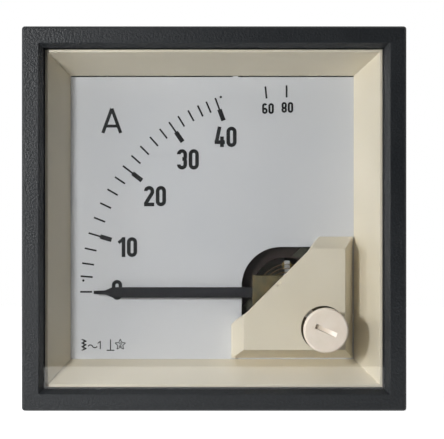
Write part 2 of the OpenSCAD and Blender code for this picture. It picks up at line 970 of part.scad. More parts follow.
// Smooth curve through the points of a route
function spline(p, i, t) =
    let (
        a = p[max(i - 1, 0)],
        b = p[i],
        c = p[i + 1],
        d = p[min(i + 2, len(p) - 1)]
    )
    0.5 * (2 * b + (c - a) * t + (2 * a - 5 * b + 4 * c - d) * t * t
        + (3 * b - a - 3 * c + d) * t * t * t);
function smooth(p, steps) = concat(
    [for (i = [0:len(p) - 2], k = [0:steps - 1]) spline(p, i, k / steps)],
    [p[len(p) - 1]]
);

// Ring of points around one point of a route, squared up to the coil's axis
function wire_ring(route, i, r, sides) =
    let (
        last = len(route) - 1,
        along = route[min(i + 1, last)] - route[max(i - 1, 0)],
        t = along / norm(along),
        out = [route[i][0] - pivot[0], 0, route[i][2] - pivot[2]],
        flat = out - (out * t) * t,
        u = flat / norm(flat),
        v = cross(t, u)
    )
    [for (k = [0:sides - 1]) route[i] + r * (cos(360 * k / sides) * u + sin(360 * k / sides) * v)];

module coil() {
    sides = 10;
    route = smooth(coil_way, 2);
    count = len(route);
    points = [for (i = [0:count - 1]) each wire_ring(route, i, wire_d / 2, sides)];
    walls = [
        for (i = [0:count - 2], k = [0:sides - 1])
            let (
                a = i * sides + k,
                b = i * sides + (k + 1) % sides
            )
            each [[a, a + sides, b + sides], [a, b + sides, b]]
    ];
    first = [for (k = [0:sides - 1]) k];
    last = [for (k = [sides - 1:-1:0]) (count - 1) * sides + k];
    color("#b5683b")
        polyhedron(points, concat(walls, [first], [last]));
}

module iron_arc(r, angle, middle) {
    along_y(iron_y, iron_y + iron_len)
        difference() {
            sector(r, middle - angle / 2, middle + angle / 2);
            circle(r - iron_t);
        }
}

module fixed_iron() {
    color("#77797c")
        translate(pivot)
            iron_arc(bobbin_bore_r - tight_gap, fixed_iron_angle, iron_middle);
}

module moving_iron() {
    color("#6c6e72")
        translate(pivot)
            iron_arc(moving_iron_r, moving_iron_angle, iron_middle);
}

module iron_carrier() {
    web_r = moving_iron_r - iron_t;
    web_t = 0.6;
    web_inset = 1;
    color("#c8cacc")
        translate(pivot)
            difference() {
                union() {
                    rod(carrier_r, iron_y, iron_y + iron_len);
                    for (y = [iron_y + web_inset, iron_y + iron_len - web_inset - web_t])
                        intersection() {
                            along_y(y, y + web_t)
                                sector(web_r, iron_middle - moving_iron_angle / 2,
                                    iron_middle + moving_iron_angle / 2);
                            rod(web_r, y - cut, y + web_t + cut);
                        }
                }
                rod(spindle_d / 2 + tight_gap, iron_y - cut, iron_y + iron_len + cut, $fn = 24);
            }
}

module chamber_outline(r, hub_r, margin) {
    sector(r, chamber_from + margin, chamber_to - margin);
    circle(hub_r);
}

module damping_chamber() {
    margin = 3;
    color("#8a8d90")
        translate(pivot)
            difference() {
                along_y(chamber_y, chamber_end_y)
                    chamber_outline(chamber_r + chamber_wall, chamber_hub_r + chamber_wall, 0);
                along_y(chamber_floor_y, chamber_end_y + cut)
                    chamber_outline(chamber_r, chamber_hub_r, margin);
                rod(spindle_d / 2 + 2 * air_gap, chamber_y - cut, chamber_end_y);
            }
}

module chamber_lid() {
    color("#8a8d90")
        translate(pivot)
            difference() {
                union() {
                    along_y(chamber_end_y, lid_end_y)
                        chamber_outline(chamber_r + chamber_wall, chamber_hub_r + chamber_wall, 0);
                    rod(chamber_hub_r - 0.4, lid_end_y, boss_end_y);
                }
                rod(jewel_d / 2 + tight_gap, chamber_end_y - cut, boss_end_y + cut);
            }
}

module damping_vane() {
    hub = 1.3;
    hub_half = 1;
    arm_half = 0.8;
    blade_gap = 1.5;
    blade_r = chamber_hub_r + chamber_wall + blade_gap;
    arm_mid = (vane_y + vane_end_y) / 2;
    color("#c8cacc")
        translate(pivot)
            difference() {
                union() {
                    rod(hub, arm_mid - hub_half, arm_mid + hub_half);
                    translate([0, 0, -vane_t / 2])
                        linear_extrude(vane_t)
                            polygon([
                                [-hub * 0.6, arm_mid - arm_half],
                                [-blade_r + arm_half, arm_mid - arm_half],
                                [-blade_r, vane_y],
                                [-vane_r, vane_y],
                                [-vane_r, vane_end_y],
                                [-blade_r, vane_end_y],
                                [-blade_r + arm_half, arm_mid + arm_half],
                                [-hub * 0.6, arm_mid + arm_half]
                            ]);
                }
                rod(spindle_d / 2 + tight_gap, arm_mid - hub_half - cut, arm_mid + hub_half + cut, $fn = 24);
            }
}

// ---- case and terminals ----

module case_post(p) {
    reach = case_in + 0.1;
    rod_y = plate_back_y;
    translate([p[0], 0, p[1]])
        rod(post_r, rod_y, case_floor_y + 0.1);
    if (p[0] > pivot_at)
        translate([p[0], rod_y, p[1] - rib_t / 2])
            cube([reach - p[0], case_floor_y - rod_y + 0.1, rib_t]);
    if (-p[1] > pivot_at)
        translate([p[0] - rib_t / 2, rod_y, -reach])
            cube([rib_t, case_floor_y - rod_y + 0.1, reach + p[1]]);
}

module case() {
    color("#2a2b2d")
        difference() {
            union() {
                difference() {
                    along_y(window_back_y, case_depth)
                        rounded_square(case_half, case_corner_r);
                    along_y(window_back_y - cut, case_floor_y)
                        square(2 * case_in, center = true);
                }
                for (turn = [0:90:270], place = rib_places)
                    rotate([0, turn, 0])
                        translate([place - rib_t / 2, scale_back_y, case_in - rib_h])
                            cube([rib_t, case_floor_y - scale_back_y + 0.1, rib_h + 0.1]);
                for (p = posts)
                    case_post(p);
                for (x = [-stud_at, stud_at])
                    translate([x, 0, stud_z])
                        rod(boss_r, case_depth - 0.1, pad_y);
            }
            for (p = posts)
                translate([p[0], 0, p[1]])
                    rod(post_screw_r + tight_gap, plate_back_y - cut, plate_back_y + post_screw_len);
            for (x = [-stud_at, stud_at])
                translate([x, 0, stud_z])
                    rod(stud_d / 2 + run_gap, case_floor_y - cut, pad_y + cut);
            for (side = [-1, 1], z = [-notch_z, notch_z], i = [0:notch_count - 1])
                translate([
                    side * case_half - notch_depth,
                    notch_y + i * notch_pitch,
                    z - notch_w / 2
                ])
                    cube([2 * notch_depth, notch_len, notch_w]);
            snap_ridges(snap_len + 2 * fit_gap, snap_h + fit_gap, snap_h * 2 + fit_gap);
        }
}

// Flat copper lug with a barrel that takes the end of the wire
module lug() {
    difference() {
        union() {
            along_y(lug_y, case_floor_y) {
                circle(lug_r);
                translate([0, -barrel_r])
                    square([lug_reach, 2 * barrel_r]);
                translate([lug_reach, 0])
                    circle(barrel_r);
            }
            translate([lug_reach, 0, 0])
                rod(barrel_r, lug_y - barrel_len, lug_y + 0.1);
        }
        rod(stud_d / 2 + run_gap, lug_y - cut, case_floor_y + cut);
        translate([lug_reach, 0, 0])
            rod(wire_d / 2 + run_gap, lug_y - barrel_len - cut, barrel_floor_y);
    }
}

module left_lug() {
    color("#b87345")
        translate([-stud_at, 0, stud_z])
            lug();
}

module right_lug() {
    color("#b87345")
        translate([stud_at, 0, stud_z])
            lug();
}

// Places its child on both terminals
module at_terminals() {
    for (x = [-stud_at, stud_at])
        translate([x, 0, stud_z])
            children();
}

module terminal_studs() {
    end_y = case_depth + stud_len;
    chamfer = 0.6;
    color("#c9a95a")
        at_terminals() {
            hex_rod(nut_af, lug_y - head_t, lug_y);
            rod(stud_d / 2, lug_y, stud_point_y);
            rod(stud_point_r, stud_point_y, end_y - chamfer);
            cone_y(stud_point_r, end_y - chamfer, stud_point_r - chamfer, end_y);
        }
}

module terminal_washers() {
    color("#c4c7ca")
        at_terminals()
            for (y = [pad_y, stack_2_y])
                along_y(y, y + washer_t)
                    difference() {
                        circle(washer_d / 2);
                        circle(stud_d / 2 + washer_play);
                    }
}

module terminal_spring_washers() {
    color("#aeb1b5")
        at_terminals()
            difference() {
                rod(spring_washer_r, stack_3_y, stack_4_y);
                rod(stud_d / 2 + washer_play / 2, stack_3_y - cut, stack_4_y + cut);
                translate([0, (stack_3_y + stack_4_y) / 2, spring_washer_r])
                    rotate([0, 0, 30])
                        cube([spring_washer_slit, 3 * washer_t, stud_d], center = true);
            }
}

module terminal_nuts() {
    corner_r = nut_af / 2 + nut_chamfer;
    color("#c9a95a")
        at_terminals()
            for (y = [stack_1_y, stack_4_y])
                difference() {
                    intersection() {
                        hex_rod(nut_af, y, y + nut_t);
                        union() {
                            cone_y(nut_af / 2, y, corner_r, y + nut_chamfer);
                            rod(corner_r, y + nut_chamfer, y + nut_t - nut_chamfer);
                            cone_y(corner_r, y + nut_t - nut_chamfer, nut_af / 2, y + nut_t);
                        }
                    }
                    rod(stud_d / 2 + tight_gap, y - cut, y + nut_t + cut);
                }
}

bezel();
window();
scale_frame();
scale_plate();
movement_cover();
zero_adjuster();
adjuster_collar();
zero_lever();
front_jewel_screw();
front_bridge();
bridge_pillars();
bridge_screws();
hairspring();
pointer();
pointer_hub();
spindle();
balance_cross();
balance_weights();
spring_collet();
movement_plate();
movement_screws();
coil_bobbin();
coil();
fixed_iron();
moving_iron();
iron_carrier();
damping_chamber();
chamber_lid();
damping_vane();
rear_jewel_screw();
rear_jewel_nut();
case();
left_lug();
right_lug();
terminal_studs();
terminal_washers();
terminal_spring_washers();
terminal_nuts();
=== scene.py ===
import json
import math

import bmesh
import bpy
from mathutils import Matrix, Vector


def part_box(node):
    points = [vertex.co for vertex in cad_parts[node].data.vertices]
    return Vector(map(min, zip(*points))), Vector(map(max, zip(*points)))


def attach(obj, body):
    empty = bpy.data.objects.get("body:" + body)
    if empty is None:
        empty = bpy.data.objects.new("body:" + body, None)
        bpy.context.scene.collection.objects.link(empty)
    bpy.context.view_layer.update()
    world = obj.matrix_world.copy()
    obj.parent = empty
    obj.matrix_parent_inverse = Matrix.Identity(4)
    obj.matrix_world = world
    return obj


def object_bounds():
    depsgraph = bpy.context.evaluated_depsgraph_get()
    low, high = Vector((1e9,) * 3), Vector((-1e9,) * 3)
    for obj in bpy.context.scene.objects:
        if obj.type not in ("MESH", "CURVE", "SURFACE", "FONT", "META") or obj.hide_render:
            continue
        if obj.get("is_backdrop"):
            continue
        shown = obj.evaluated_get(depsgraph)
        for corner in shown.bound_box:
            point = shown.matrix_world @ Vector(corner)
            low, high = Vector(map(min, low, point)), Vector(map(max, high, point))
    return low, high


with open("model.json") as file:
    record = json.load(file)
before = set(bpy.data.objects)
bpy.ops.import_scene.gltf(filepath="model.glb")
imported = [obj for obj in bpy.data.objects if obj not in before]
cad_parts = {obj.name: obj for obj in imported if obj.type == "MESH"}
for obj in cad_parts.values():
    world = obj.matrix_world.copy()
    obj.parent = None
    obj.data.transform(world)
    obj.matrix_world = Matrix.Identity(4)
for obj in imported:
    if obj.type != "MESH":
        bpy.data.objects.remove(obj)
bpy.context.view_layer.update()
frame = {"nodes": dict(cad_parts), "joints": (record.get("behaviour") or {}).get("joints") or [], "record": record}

mm = 0.001
nodes = frame["nodes"]
joints = {joint["name"]: joint for joint in frame["joints"]}
mounts = {mount["name"]: mount for mount in frame["record"]["mounts"]}
pivot = Vector(joints["pointer_swing"]["pos_m"])
print("frame loaded:", len(nodes), "nodes")


def hexColor(text):
    # sRGB hex to the linear values that the shaders want
    parts = [int(text[i:i + 2], 16) / 255 for i in (1, 3, 5)]
    linear = [p / 12.92 if p <= 0.04045 else ((p + 0.055) / 1.055) ** 2.4 for p in parts]
    return (*linear, 1.0)


def joinUp(tree, node, links):
    # a link comes from a socket, or from a node's first output
    for name, source in links.items():
        tree.links.new(getattr(source, "outputs", [source])[0], node.inputs[name])


def addNode(tree, kind, settings=None, links=None):
    node = tree.nodes.new(kind)
    for name, value in (settings or {}).items():
        if name == "stops":
            bands = node.color_ramp.elements
            while len(bands) < len(value):
                bands.new(0.5)
            for band, (place, color) in zip(bands, value):
                band.position = place
                band.color = hexColor(color)
        elif isinstance(name, int) or name in node.inputs:
            node.inputs[name].default_value = value
        else:
            setattr(node, name, value)
    joinUp(tree, node, links or {})
    return node


def newMaterial(name, look):
    # a Principled surface with the plain values of the finish on its own sockets
    material = bpy.data.materials.new(name)
    material.use_nodes = True
    tree = material.node_tree
    tree.nodes.clear()
    surface = addNode(tree, "ShaderNodeBsdfPrincipled", look)
    addNode(tree, "ShaderNodeOutputMaterial", links={"Surface": surface})
    where = addNode(tree, "ShaderNodeTexCoord").outputs["Object"]
    return material, tree, surface, where


def grainedAbs():
    # black ABS from a spark-eroded tool: matt, with an even grain that sparkles at a slant
    material, tree, surface, where = newMaterial("grainedAbs", {
        "Base Color": hexColor("#14171a"), "Roughness": 0.42,
        "Specular IOR Level": 0.35})
    grain = addNode(tree, "ShaderNodeTexNoise",
                    {"Scale": 1 / (0.42 * mm), "Detail": 3.0, "Roughness": 0.6},
                    {"Vector": where})
    patches = addNode(tree, "ShaderNodeTexNoise", {"Scale": 1 / (9 * mm)}, {"Vector": where})
    tint = addNode(tree, "ShaderNodeValToRGB",
                   {"stops": [(0.35, "#0f1215"), (0.72, "#1b1f23")]}, {"Fac": grain})
    sheen = addNode(tree, "ShaderNodeMapRange",
                    {"From Min": 0.3, "From Max": 0.7, "To Min": 0.38, "To Max": 0.47},
                    {"Value": patches})
    rounded = addNode(tree, "ShaderNodeBevel", {"samples": 4, "Radius": 0.25 * mm})
    relief = addNode(tree, "ShaderNodeBump", {"Distance": 0.09 * mm},
                     {"Height": grain, "Normal": rounded})
    joinUp(tree, surface, {"Base Color": tint, "Roughness": sheen, "Normal": relief})
    return material


def mouldedCaseAbs():
    # the same black plastic from a smoother tool, with faint flow marks on the flat walls
    material, tree, surface, where = newMaterial("mouldedCaseAbs", {
        "Base Color": hexColor("#222326"), "Roughness": 0.42, "IOR": 1.53})
    grain = addNode(tree, "ShaderNodeTexNoise", {"Scale": 1 / (0.6 * mm)}, {"Vector": where})
    drawn = addNode(tree, "ShaderNodeMapping", {"Scale": (1, 0.25, 1)}, {"Vector": where})
    flow = addNode(tree, "ShaderNodeTexNoise", {"Scale": 1 / (14 * mm)}, {"Vector": drawn})
    tint = addNode(tree, "ShaderNodeValToRGB",
                   {"stops": [(0.3, "#1d1e20"), (0.75, "#2a2b2e")]}, {"Fac": flow})
    sheen = addNode(tree, "ShaderNodeMapRange",
                    {"From Min": 0.35, "From Max": 0.7, "To Min": 0.36, "To Max": 0.5},
                    {"Value": flow})
    rounded = addNode(tree, "ShaderNodeBevel", {"samples": 4, "Radius": 0.2 * mm})
    relief = addNode(tree, "ShaderNodeBump", {"Distance": 0.02 * mm},
                     {"Height": grain, "Normal": rounded})
    joinUp(tree, surface, {"Base Color": tint, "Roughness": sheen, "Normal": relief})
    return material


def ivoryPolycarbonate():
    # ivory polycarbonate, moulded nearly smooth: a soft sheen and a little light inside
    material, tree, surface, where = newMaterial("ivoryPolycarbonate", {
        "Base Color": hexColor("#e0d8c5"), "Roughness": 0.42, "IOR": 1.58,
        "Subsurface Weight": 0.06, "Subsurface Radius": (1.0, 0.8, 0.5),
        "Subsurface Scale": 0.4 * mm})
    grain = addNode(tree, "ShaderNodeTexNoise", {"Scale": 1 / (0.35 * mm)}, {"Vector": where})
    patches = addNode(tree, "ShaderNodeTexNoise", {"Scale": 1 / (12 * mm)}, {"Vector": where})
    tint = addNode(tree, "ShaderNodeValToRGB",
                   {"stops": [(0.3, "#ddd5c1"), (0.7, "#e3dbc8")]}, {"Fac": patches})
    sheen = addNode(tree, "ShaderNodeMapRange",
                    {"From Min": 0.3, "From Max": 0.7, "To Min": 0.38, "To Max": 0.48},
                    {"Value": patches})
    rounded = addNode(tree, "ShaderNodeBevel", {"samples": 4, "Radius": 0.16 * mm})
    relief = addNode(tree, "ShaderNodeBump", {"Distance": 0.006 * mm},
                     {"Height": grain, "Normal": rounded})
    joinUp(tree, surface, {"Base Color": tint, "Roughness": sheen, "Normal": relief})
    return material


def pinkIvoryNylon():
    # ivory nylon of the adjuster: slightly pinker and softer in sheen than the mouldings
    material, tree, surface, where = newMaterial("pinkIvoryNylon", {
        "Base Color": hexColor("#e4d9ca"), "Roughness": 0.38, "IOR": 1.53,
        "Subsurface Weight": 0.1, "Subsurface Radius": (1.0, 0.7, 0.5),
        "Subsurface Scale": 0.5 * mm})
    cloud = addNode(tree, "ShaderNodeTexNoise", {"Scale": 1 / (2.5 * mm), "Detail": 3.0},
                    {"Vector": where})
    tint = addNode(tree, "ShaderNodeValToRGB",
                   {"stops": [(0.3, "#e0d4c4"), (0.7, "#e8ddcf")]}, {"Fac": cloud})
    rounded = addNode(tree, "ShaderNodeBevel", {"samples": 4, "Radius": 0.12 * mm})
    relief = addNode(tree, "ShaderNodeBump", {"Distance": 0.02 * mm},
                     {"Height": cloud, "Normal": rounded})
    joinUp(tree, surface, {"Base Color": tint, "Normal": relief})
    return material


def paintedScaleSheet():
    # aluminium sheet with matt pale grey paint: a very fine orange peel, no gloss
    material, tree, surface, where = newMaterial("paintedScaleSheet", {
        "Base Color": hexColor("#c9ccd0"), "Roughness": 0.62, "IOR": 1.5})
    peel = addNode(tree, "ShaderNodeTexNoise", {"Scale": 1 / (0.5 * mm)}, {"Vector": where})
    patches = addNode(tree, "ShaderNodeTexNoise", {"Scale": 1 / (18 * mm)}, {"Vector": where})
    tint = addNode(tree, "ShaderNodeValToRGB",
                   {"stops": [(0.3, "#c7cacf"), (0.7, "#ccced2")]}, {"Fac": patches})
    relief = addNode(tree, "ShaderNodeBump", {"Distance": 0.004 * mm}, {"Height": peel})
    joinUp(tree, surface, {"Base Color": tint, "Normal": relief})
    return material


def screenInk():
    # black screen-printing ink: a matt film that stands a hair proud of the paint
    material, tree, surface, where = newMaterial("screenInk", {
        "Base Color": hexColor("#101114"), "Roughness": 0.6, "Specular IOR Level": 0.2})
    film = addNode(tree, "ShaderNodeTexNoise", {"Scale": 1 / (0.3 * mm)}, {"Vector": where})
    tint = addNode(tree, "ShaderNodeValToRGB",
                   {"stops": [(0.3, "#0d0e10"), (0.7, "#15171a")]}, {"Fac": film})
    relief = addNode(tree, "ShaderNodeBump", {"Distance": 0.004 * mm}, {"Height": film})
    joinUp(tree, surface, {"Base Color": tint, "Normal": relief})
    return material


def mattPointerPaint():
    # sprayed matt black paint on thin aluminium
    material, tree, surface, where = newMaterial("mattPointerPaint", {
        "Base Color": hexColor("#15171a"), "Roughness": 0.65, "Specular IOR Level": 0.2})
    spray = addNode(tree, "ShaderNodeTexNoise", {"Scale": 1 / (0.25 * mm), "Detail": 3.0},
                    {"Vector": where})
    tint = addNode(tree, "ShaderNodeValToRGB",
                   {"stops": [(0.35, "#111215"), (0.7, "#1b1d20")]}, {"Fac": spray})
    rounded = addNode(tree, "ShaderNodeBevel", {"samples": 4, "Radius": 0.05 * mm})
    relief = addNode(tree, "ShaderNodeBump", {"Distance": 0.008 * mm},
                     {"Height": spray, "Normal": rounded})
    joinUp(tree, surface, {"Base Color": tint, "Normal": relief})
    return material


def clearPane():
    # clear drawn glass: lamps and diffuse light pass, so the scale behind it is lit
    material, tree, surface, _ = newMaterial("clearPane", {
        "Base Color": (0.99, 0.99, 0.985, 1), "Roughness": 0.0, "IOR": 1.5,
        "Transmission Weight": 1.0})
    path = addNode(tree, "ShaderNodeLightPath")
    lit = addNode(tree, "ShaderNodeMath", {"operation": "MAXIMUM"},
                  {0: path.outputs["Is Shadow Ray"], 1: path.outputs["Is Diffuse Ray"]})
    through = addNode(tree, "ShaderNodeBsdfTransparent", {"Color": (0.93, 0.93, 0.925, 1)})
    mix = addNode(tree, "ShaderNodeMixShader", links={0: lit, 1: surface, 2: through})
    output = next(n for n in tree.nodes if n.type == "OUTPUT_MATERIAL")
    joinUp(tree, output, {"Surface": mix})
    return material


def turnedBrass():
    # brass turned on a lathe: fine rings along the axis, slight tarnish in the hollows
    material, tree, surface, where = newMaterial("turnedBrass", {
        "Base Color": hexColor("#c9a557"), "Metallic": 1.0, "Roughness": 0.3})
    rings = addNode(tree, "ShaderNodeTexWave",
                    {"wave_type": "BANDS", "bands_direction": "Y", "Scale": 1 / (2.4 * mm),
                     "Distortion": 1.5, "Detail": 2.0}, {"Vector": where})
    tarnish = addNode(tree, "ShaderNodeTexNoise", {"Scale": 1 / (3.5 * mm), "Detail": 4.0},
                      {"Vector": where})
    tint = addNode(tree, "ShaderNodeValToRGB",
                   {"stops": [(0.3, "#a37e3d"), (0.55, "#c9a557"), (0.8, "#d6b66c")]},
                   {"Fac": tarnish})
    sheen = addNode(tree, "ShaderNodeMapRange",
                    {"From Min": 0.3, "From Max": 0.7, "To Min": 0.42, "To Max": 0.24},
                    {"Value": tarnish})
    rounded = addNode(tree, "ShaderNodeBevel", {"samples": 4, "Radius": 0.12 * mm})
    relief = addNode(tree, "ShaderNodeBump", {"Distance": 0.006 * mm},
                     {"Height": rings, "Normal": rounded})
    joinUp(tree, surface, {"Base Color": tint, "Roughness": sheen, "Normal": relief})
    return material


def agedBrass():
    # the small brass pieces of the movement, years old: brown and dull, hardly any shine
    material, tree, surface, where = newMaterial("agedBrass", {
        "Base Color": hexColor("#7a6a40"), "Metallic": 0.85, "Roughness": 0.48})
    tarnish = addNode(tree, "ShaderNodeTexNoise", {"Scale": 1 / (1.2 * mm), "Detail": 4.0},
                      {"Vector": where})
    tint = addNode(tree, "ShaderNodeValToRGB",
                   {"stops": [(0.3, "#594d31"), (0.6, "#7e6e43"), (0.85, "#9a8753")]},
                   {"Fac": tarnish})
    rounded = addNode(tree, "ShaderNodeBevel", {"samples": 4, "Radius": 0.08 * mm})
    relief = addNode(tree, "ShaderNodeBump", {"Distance": 0.006 * mm},
                     {"Height": tarnish, "Normal": rounded})
    joinUp(tree, surface, {"Base Color": tint, "Normal": relief})
    return material


def zincPlate():
    # bright zinc plate on steel: bluish grey with soft cloudy patches
    material, tree, surface, where = newMaterial("zincPlate", {
        "Base Color": hexColor("#b9bdc2"), "Metallic": 1.0, "Roughness": 0.32})
    cloud = addNode(tree, "ShaderNodeTexNoise", {"Scale": 1 / (2.2 * mm), "Detail": 4.0},
                    {"Vector": where})
    tint = addNode(tree, "ShaderNodeValToRGB",
                   {"stops": [(0.3, "#9da2a8"), (0.7, "#c6cacf")]}, {"Fac": cloud})
    sheen = addNode(tree, "ShaderNodeMapRange",
                    {"From Min": 0.3, "From Max": 0.7, "To Min": 0.42, "To Max": 0.28},
                    {"Value": cloud})
    rounded = addNode(tree, "ShaderNodeBevel", {"samples": 4, "Radius": 0.12 * mm})
    relief = addNode(tree, "ShaderNodeBump", {"Distance": 0.01 * mm},
                     {"Height": cloud, "Normal": rounded})
    joinUp(tree, surface, {"Base Color": tint, "Roughness": sheen, "Normal": relief})
    return material


def passivatedSteelPaintedShade():
    # chromate film on punched steel: patchy brown and green tints over rolling lines, with painted shade: its dark
    # olive-brown colour is the steel's look in the shade inside the case
    # painted shade: this dark base colour is the chromated steel as it looks in shadow
    material, tree, surface, where = newMaterial("passivatedSteelPaintedShade", {
        "Base Color": hexColor("#4a432e"), "Metallic": 0.4, "Roughness": 0.55})
    tint = addNode(tree, "ShaderNodeTexNoise", {"Scale": 1 / (1.6 * mm), "Detail": 3.0},
                   {"Vector": where})
    along = addNode(tree, "ShaderNodeMapping", {"Scale": (0.15, 1, 1)}, {"Vector": where})
    rolled = addNode(tree, "ShaderNodeTexNoise", {"Scale": 1 / (0.3 * mm)}, {"Vector": along})
    # painted shade: these dark olive-brown stops are the film's shaded look, darker than its own tint under a lamp
    film = addNode(tree, "ShaderNodeValToRGB",
                   {"stops": [(0.3, "#393828"), (0.5, "#4c452c"), (0.75, "#5b4d32")]},
                   {"Fac": tint})
    rounded = addNode(tree, "ShaderNodeBevel", {"samples": 4, "Radius": 0.08 * mm})
    relief = addNode(tree, "ShaderNodeBump", {"Distance": 0.01 * mm},
                     {"Height": rolled, "Normal": rounded})
    joinUp(tree, surface, {"Base Color": film, "Normal": relief})
    return material


def phosphatedSteel():
    # zinc-phosphated steel: dark greenish grey, crystalline and matt
    material, tree, surface, where = newMaterial("phosphatedSteel", {
        "Base Color": hexColor("#3a3b30"), "Metallic": 0.3, "Roughness": 0.6})
    crystals = addNode(tree, "ShaderNodeTexVoronoi", {"Scale": 1 / (0.35 * mm)},
                       {"Vector": where})
    tint = addNode(tree, "ShaderNodeValToRGB",
                   {"stops": [(0.0, "#30312a"), (0.8, "#45463a")]},
                   {"Fac": crystals.outputs["Distance"]})
    rounded = addNode(tree, "ShaderNodeBevel", {"samples": 4, "Radius": 0.08 * mm})
    relief = addNode(tree, "ShaderNodeBump", {"Distance": 0.01 * mm},
                     {"Height": crystals.outputs["Distance"], "Normal": rounded})
    joinUp(tree, surface, {"Base Color": tint, "Normal": relief})
    return material


def rolledAluminium():
    # mill-finish sheet: fine parallel rolling lines, dull silver
    material, tree, surface, where = newMaterial("rolledAluminium", {
        "Base Color": hexColor("#b9bbbd"), "Metallic": 1.0, "Roughness": 0.38})
    along = addNode(tree, "ShaderNodeMapping", {"Scale": (0.08, 1, 1)}, {"Vector": where})
    lines = addNode(tree, "ShaderNodeTexNoise", {"Scale": 1 / (0.2 * mm), "Detail": 3.0},
                    {"Vector": along})
    tint = addNode(tree, "ShaderNodeValToRGB",
                   {"stops": [(0.3, "#a5a8aa"), (0.7, "#c4c6c8")]}, {"Fac": lines})
    rounded = addNode(tree, "ShaderNodeBevel", {"samples": 4, "Radius": 0.06 * mm})
    relief = addNode(tree, "ShaderNodeBump", {"Distance": 0.006 * mm},
                     {"Height": lines, "Normal": rounded})
    joinUp(tree, surface, {"Base Color": tint, "Normal": relief})
    return material


def springBronze():
    # phosphor bronze ribbon, rolled and then dulled to brown by age
    material, tree, surface, where = newMaterial("springBronze", {
        "Base Color": hexColor("#6d5a3c"), "Metallic": 0.9, "Roughness": 0.42})
    heat = addNode(tree, "ShaderNodeTexNoise", {"Scale": 1 / (3 * mm)}, {"Vector": where})
    tint = addNode(tree, "ShaderNodeValToRGB",
                   {"stops": [(0.3, "#5a4a31"), (0.7, "#7d6947")]}, {"Fac": heat})
    joinUp(tree, surface, {"Base Color": tint})
    return material


def annealedIron():
    # soft iron sheet after annealing: blue-grey scale
    material, tree, surface, where = newMaterial("annealedIron", {
        "Base Color": hexColor("#66686c"), "Metallic": 0.9, "Roughness": 0.48})
    scale = addNode(tree, "ShaderNodeTexNoise", {"Scale": 1 / (1.5 * mm), "Detail": 4.0},
                    {"Vector": where})
    tint = addNode(tree, "ShaderNodeValToRGB",
                   {"stops": [(0.3, "#55585f"), (0.7, "#76777a")]}, {"Fac": scale})
    relief = addNode(tree, "ShaderNodeBump", {"Distance": 0.008 * mm}, {"Height": scale})
    joinUp(tree, surface, {"Base Color": tint, "Normal": relief})
    return material


def phenolicMoulding():
    # brown-black phenolic resin: a glossy skin with faint flow lines
    material, tree, surface, where = newMaterial("phenolicMoulding", {
        "Base Color": hexColor("#2b2320"), "Roughness": 0.32, "IOR": 1.6})
    flow = addNode(tree, "ShaderNodeTexNoise", {"Scale": 1 / (4 * mm), "Detail": 3.0},
                   {"Vector": where})
    tint = addNode(tree, "ShaderNodeValToRGB",
                   {"stops": [(0.3, "#241d1a"), (0.7, "#352b26")]}, {"Fac": flow})
    rounded = addNode(tree, "ShaderNodeBevel", {"samples": 4, "Radius": 0.1 * mm})
    relief = addNode(tree, "ShaderNodeBump", {"Distance": 0.01 * mm},
                     {"Height": flow, "Normal": rounded})
    joinUp(tree, surface, {"Base Color": tint, "Normal": relief})
    return material


def enamelledCopper():
    # copper wire under clear amber enamel: a glossy coat over warm metal
    material, tree, surface, where = newMaterial("enamelledCopper", {
        "Base Color": hexColor("#b8693c"), "Metallic": 1.0, "Roughness": 0.3,
        "Coat Weight": 0.8, "Coat Roughness": 0.08})
    tone = addNode(tree, "ShaderNodeTexNoise", {"Scale": 1 / (3 * mm)}, {"Vector": where})
    tint = addNode(tree, "ShaderNodeValToRGB",
                   {"stops": [(0.3, "#a3552c"), (0.7, "#c4764a")]}, {"Fac": tone})
    joinUp(tree, surface, {"Base Color": tint})
    return material


def brazedCopper():
    # punched copper, dulled and stained by brazing
    material, tree, surface, where = newMaterial("brazedCopper", {
        "Base Color": hexColor("#b07a55"), "Metallic": 1.0, "Roughness": 0.42})
    stain = addNode(tree, "ShaderNodeTexNoise", {"Scale": 1 / (2 * mm), "Detail": 4.0},
                    {"Vector": where})
    tint = addNode(tree, "ShaderNodeValToRGB",
                   {"stops": [(0.3, "#86563a"), (0.7, "#c08a62")]}, {"Fac": stain})
    joinUp(tree, surface, {"Base Color": tint})
    return material


finishOf = {
    "bezel_plastic": grainedAbs(), "case_plastic": mouldedCaseAbs(),
    "window_glass": clearPane(), "ivory_plastic": ivoryPolycarbonate(),
    "adjuster_plastic": pinkIvoryNylon(), "scale_paint": paintedScaleSheet(),
    "pointer_paint": mattPointerPaint(), "bare_aluminium": rolledAluminium(),
    "turned_brass": turnedBrass(), "passivated_steel": passivatedSteelPaintedShade(),
    "black_steel": phosphatedSteel(), "zinc_steel": zincPlate(),
    "spring_bronze": springBronze(), "soft_iron": annealedIron(),
    "bobbin_plastic": phenolicMoulding(), "enamelled_copper": enamelledCopper(),
    "tinned_copper": brazedCopper(),
}
dullBrass = agedBrass()
agedNodes = ("balance_weights", "pointer_hub", "spring_collet", "front_jewel_screw")
for part in frame["record"]["subparts"]:
    slots = nodes[part["node"]].data.materials
    slots.clear()
    aged = part["node"] in agedNodes
    slots.append(dullBrass if aged else finishOf[part["material_slot"]])


ink = screenInk()
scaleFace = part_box("scale_plate")[0].y
printing = {
    "film": 0.03,    # mm the ink stands proud
    "outerR": 40.0,  # mm from the pivot to the outer end of a line
    "lineLen": 2.35,
    "lineW": 0.34,
    "barLen": 2.3,   # heavy bar that goes on inwards at each ten
    "barW": 0.88,
}
# where the pointer stands for each value, in degrees from zero
scaleLaw = {
    0: 0, 4: 4.35, 6: 8.0, 8: 12.2, 10: 16.55, 12: 21.1, 14: 25.5, 16: 29.8, 18: 33.8,
    20: 37.6, 22: 41.3, 24: 44.9, 26: 48.6, 28: 52.1, 30: 55.3, 32: 58.3, 34: 61.5,
    36: 64.5, 38: 67.1, 40: 69.8, 60: 84.1, 80: 90.0,
}


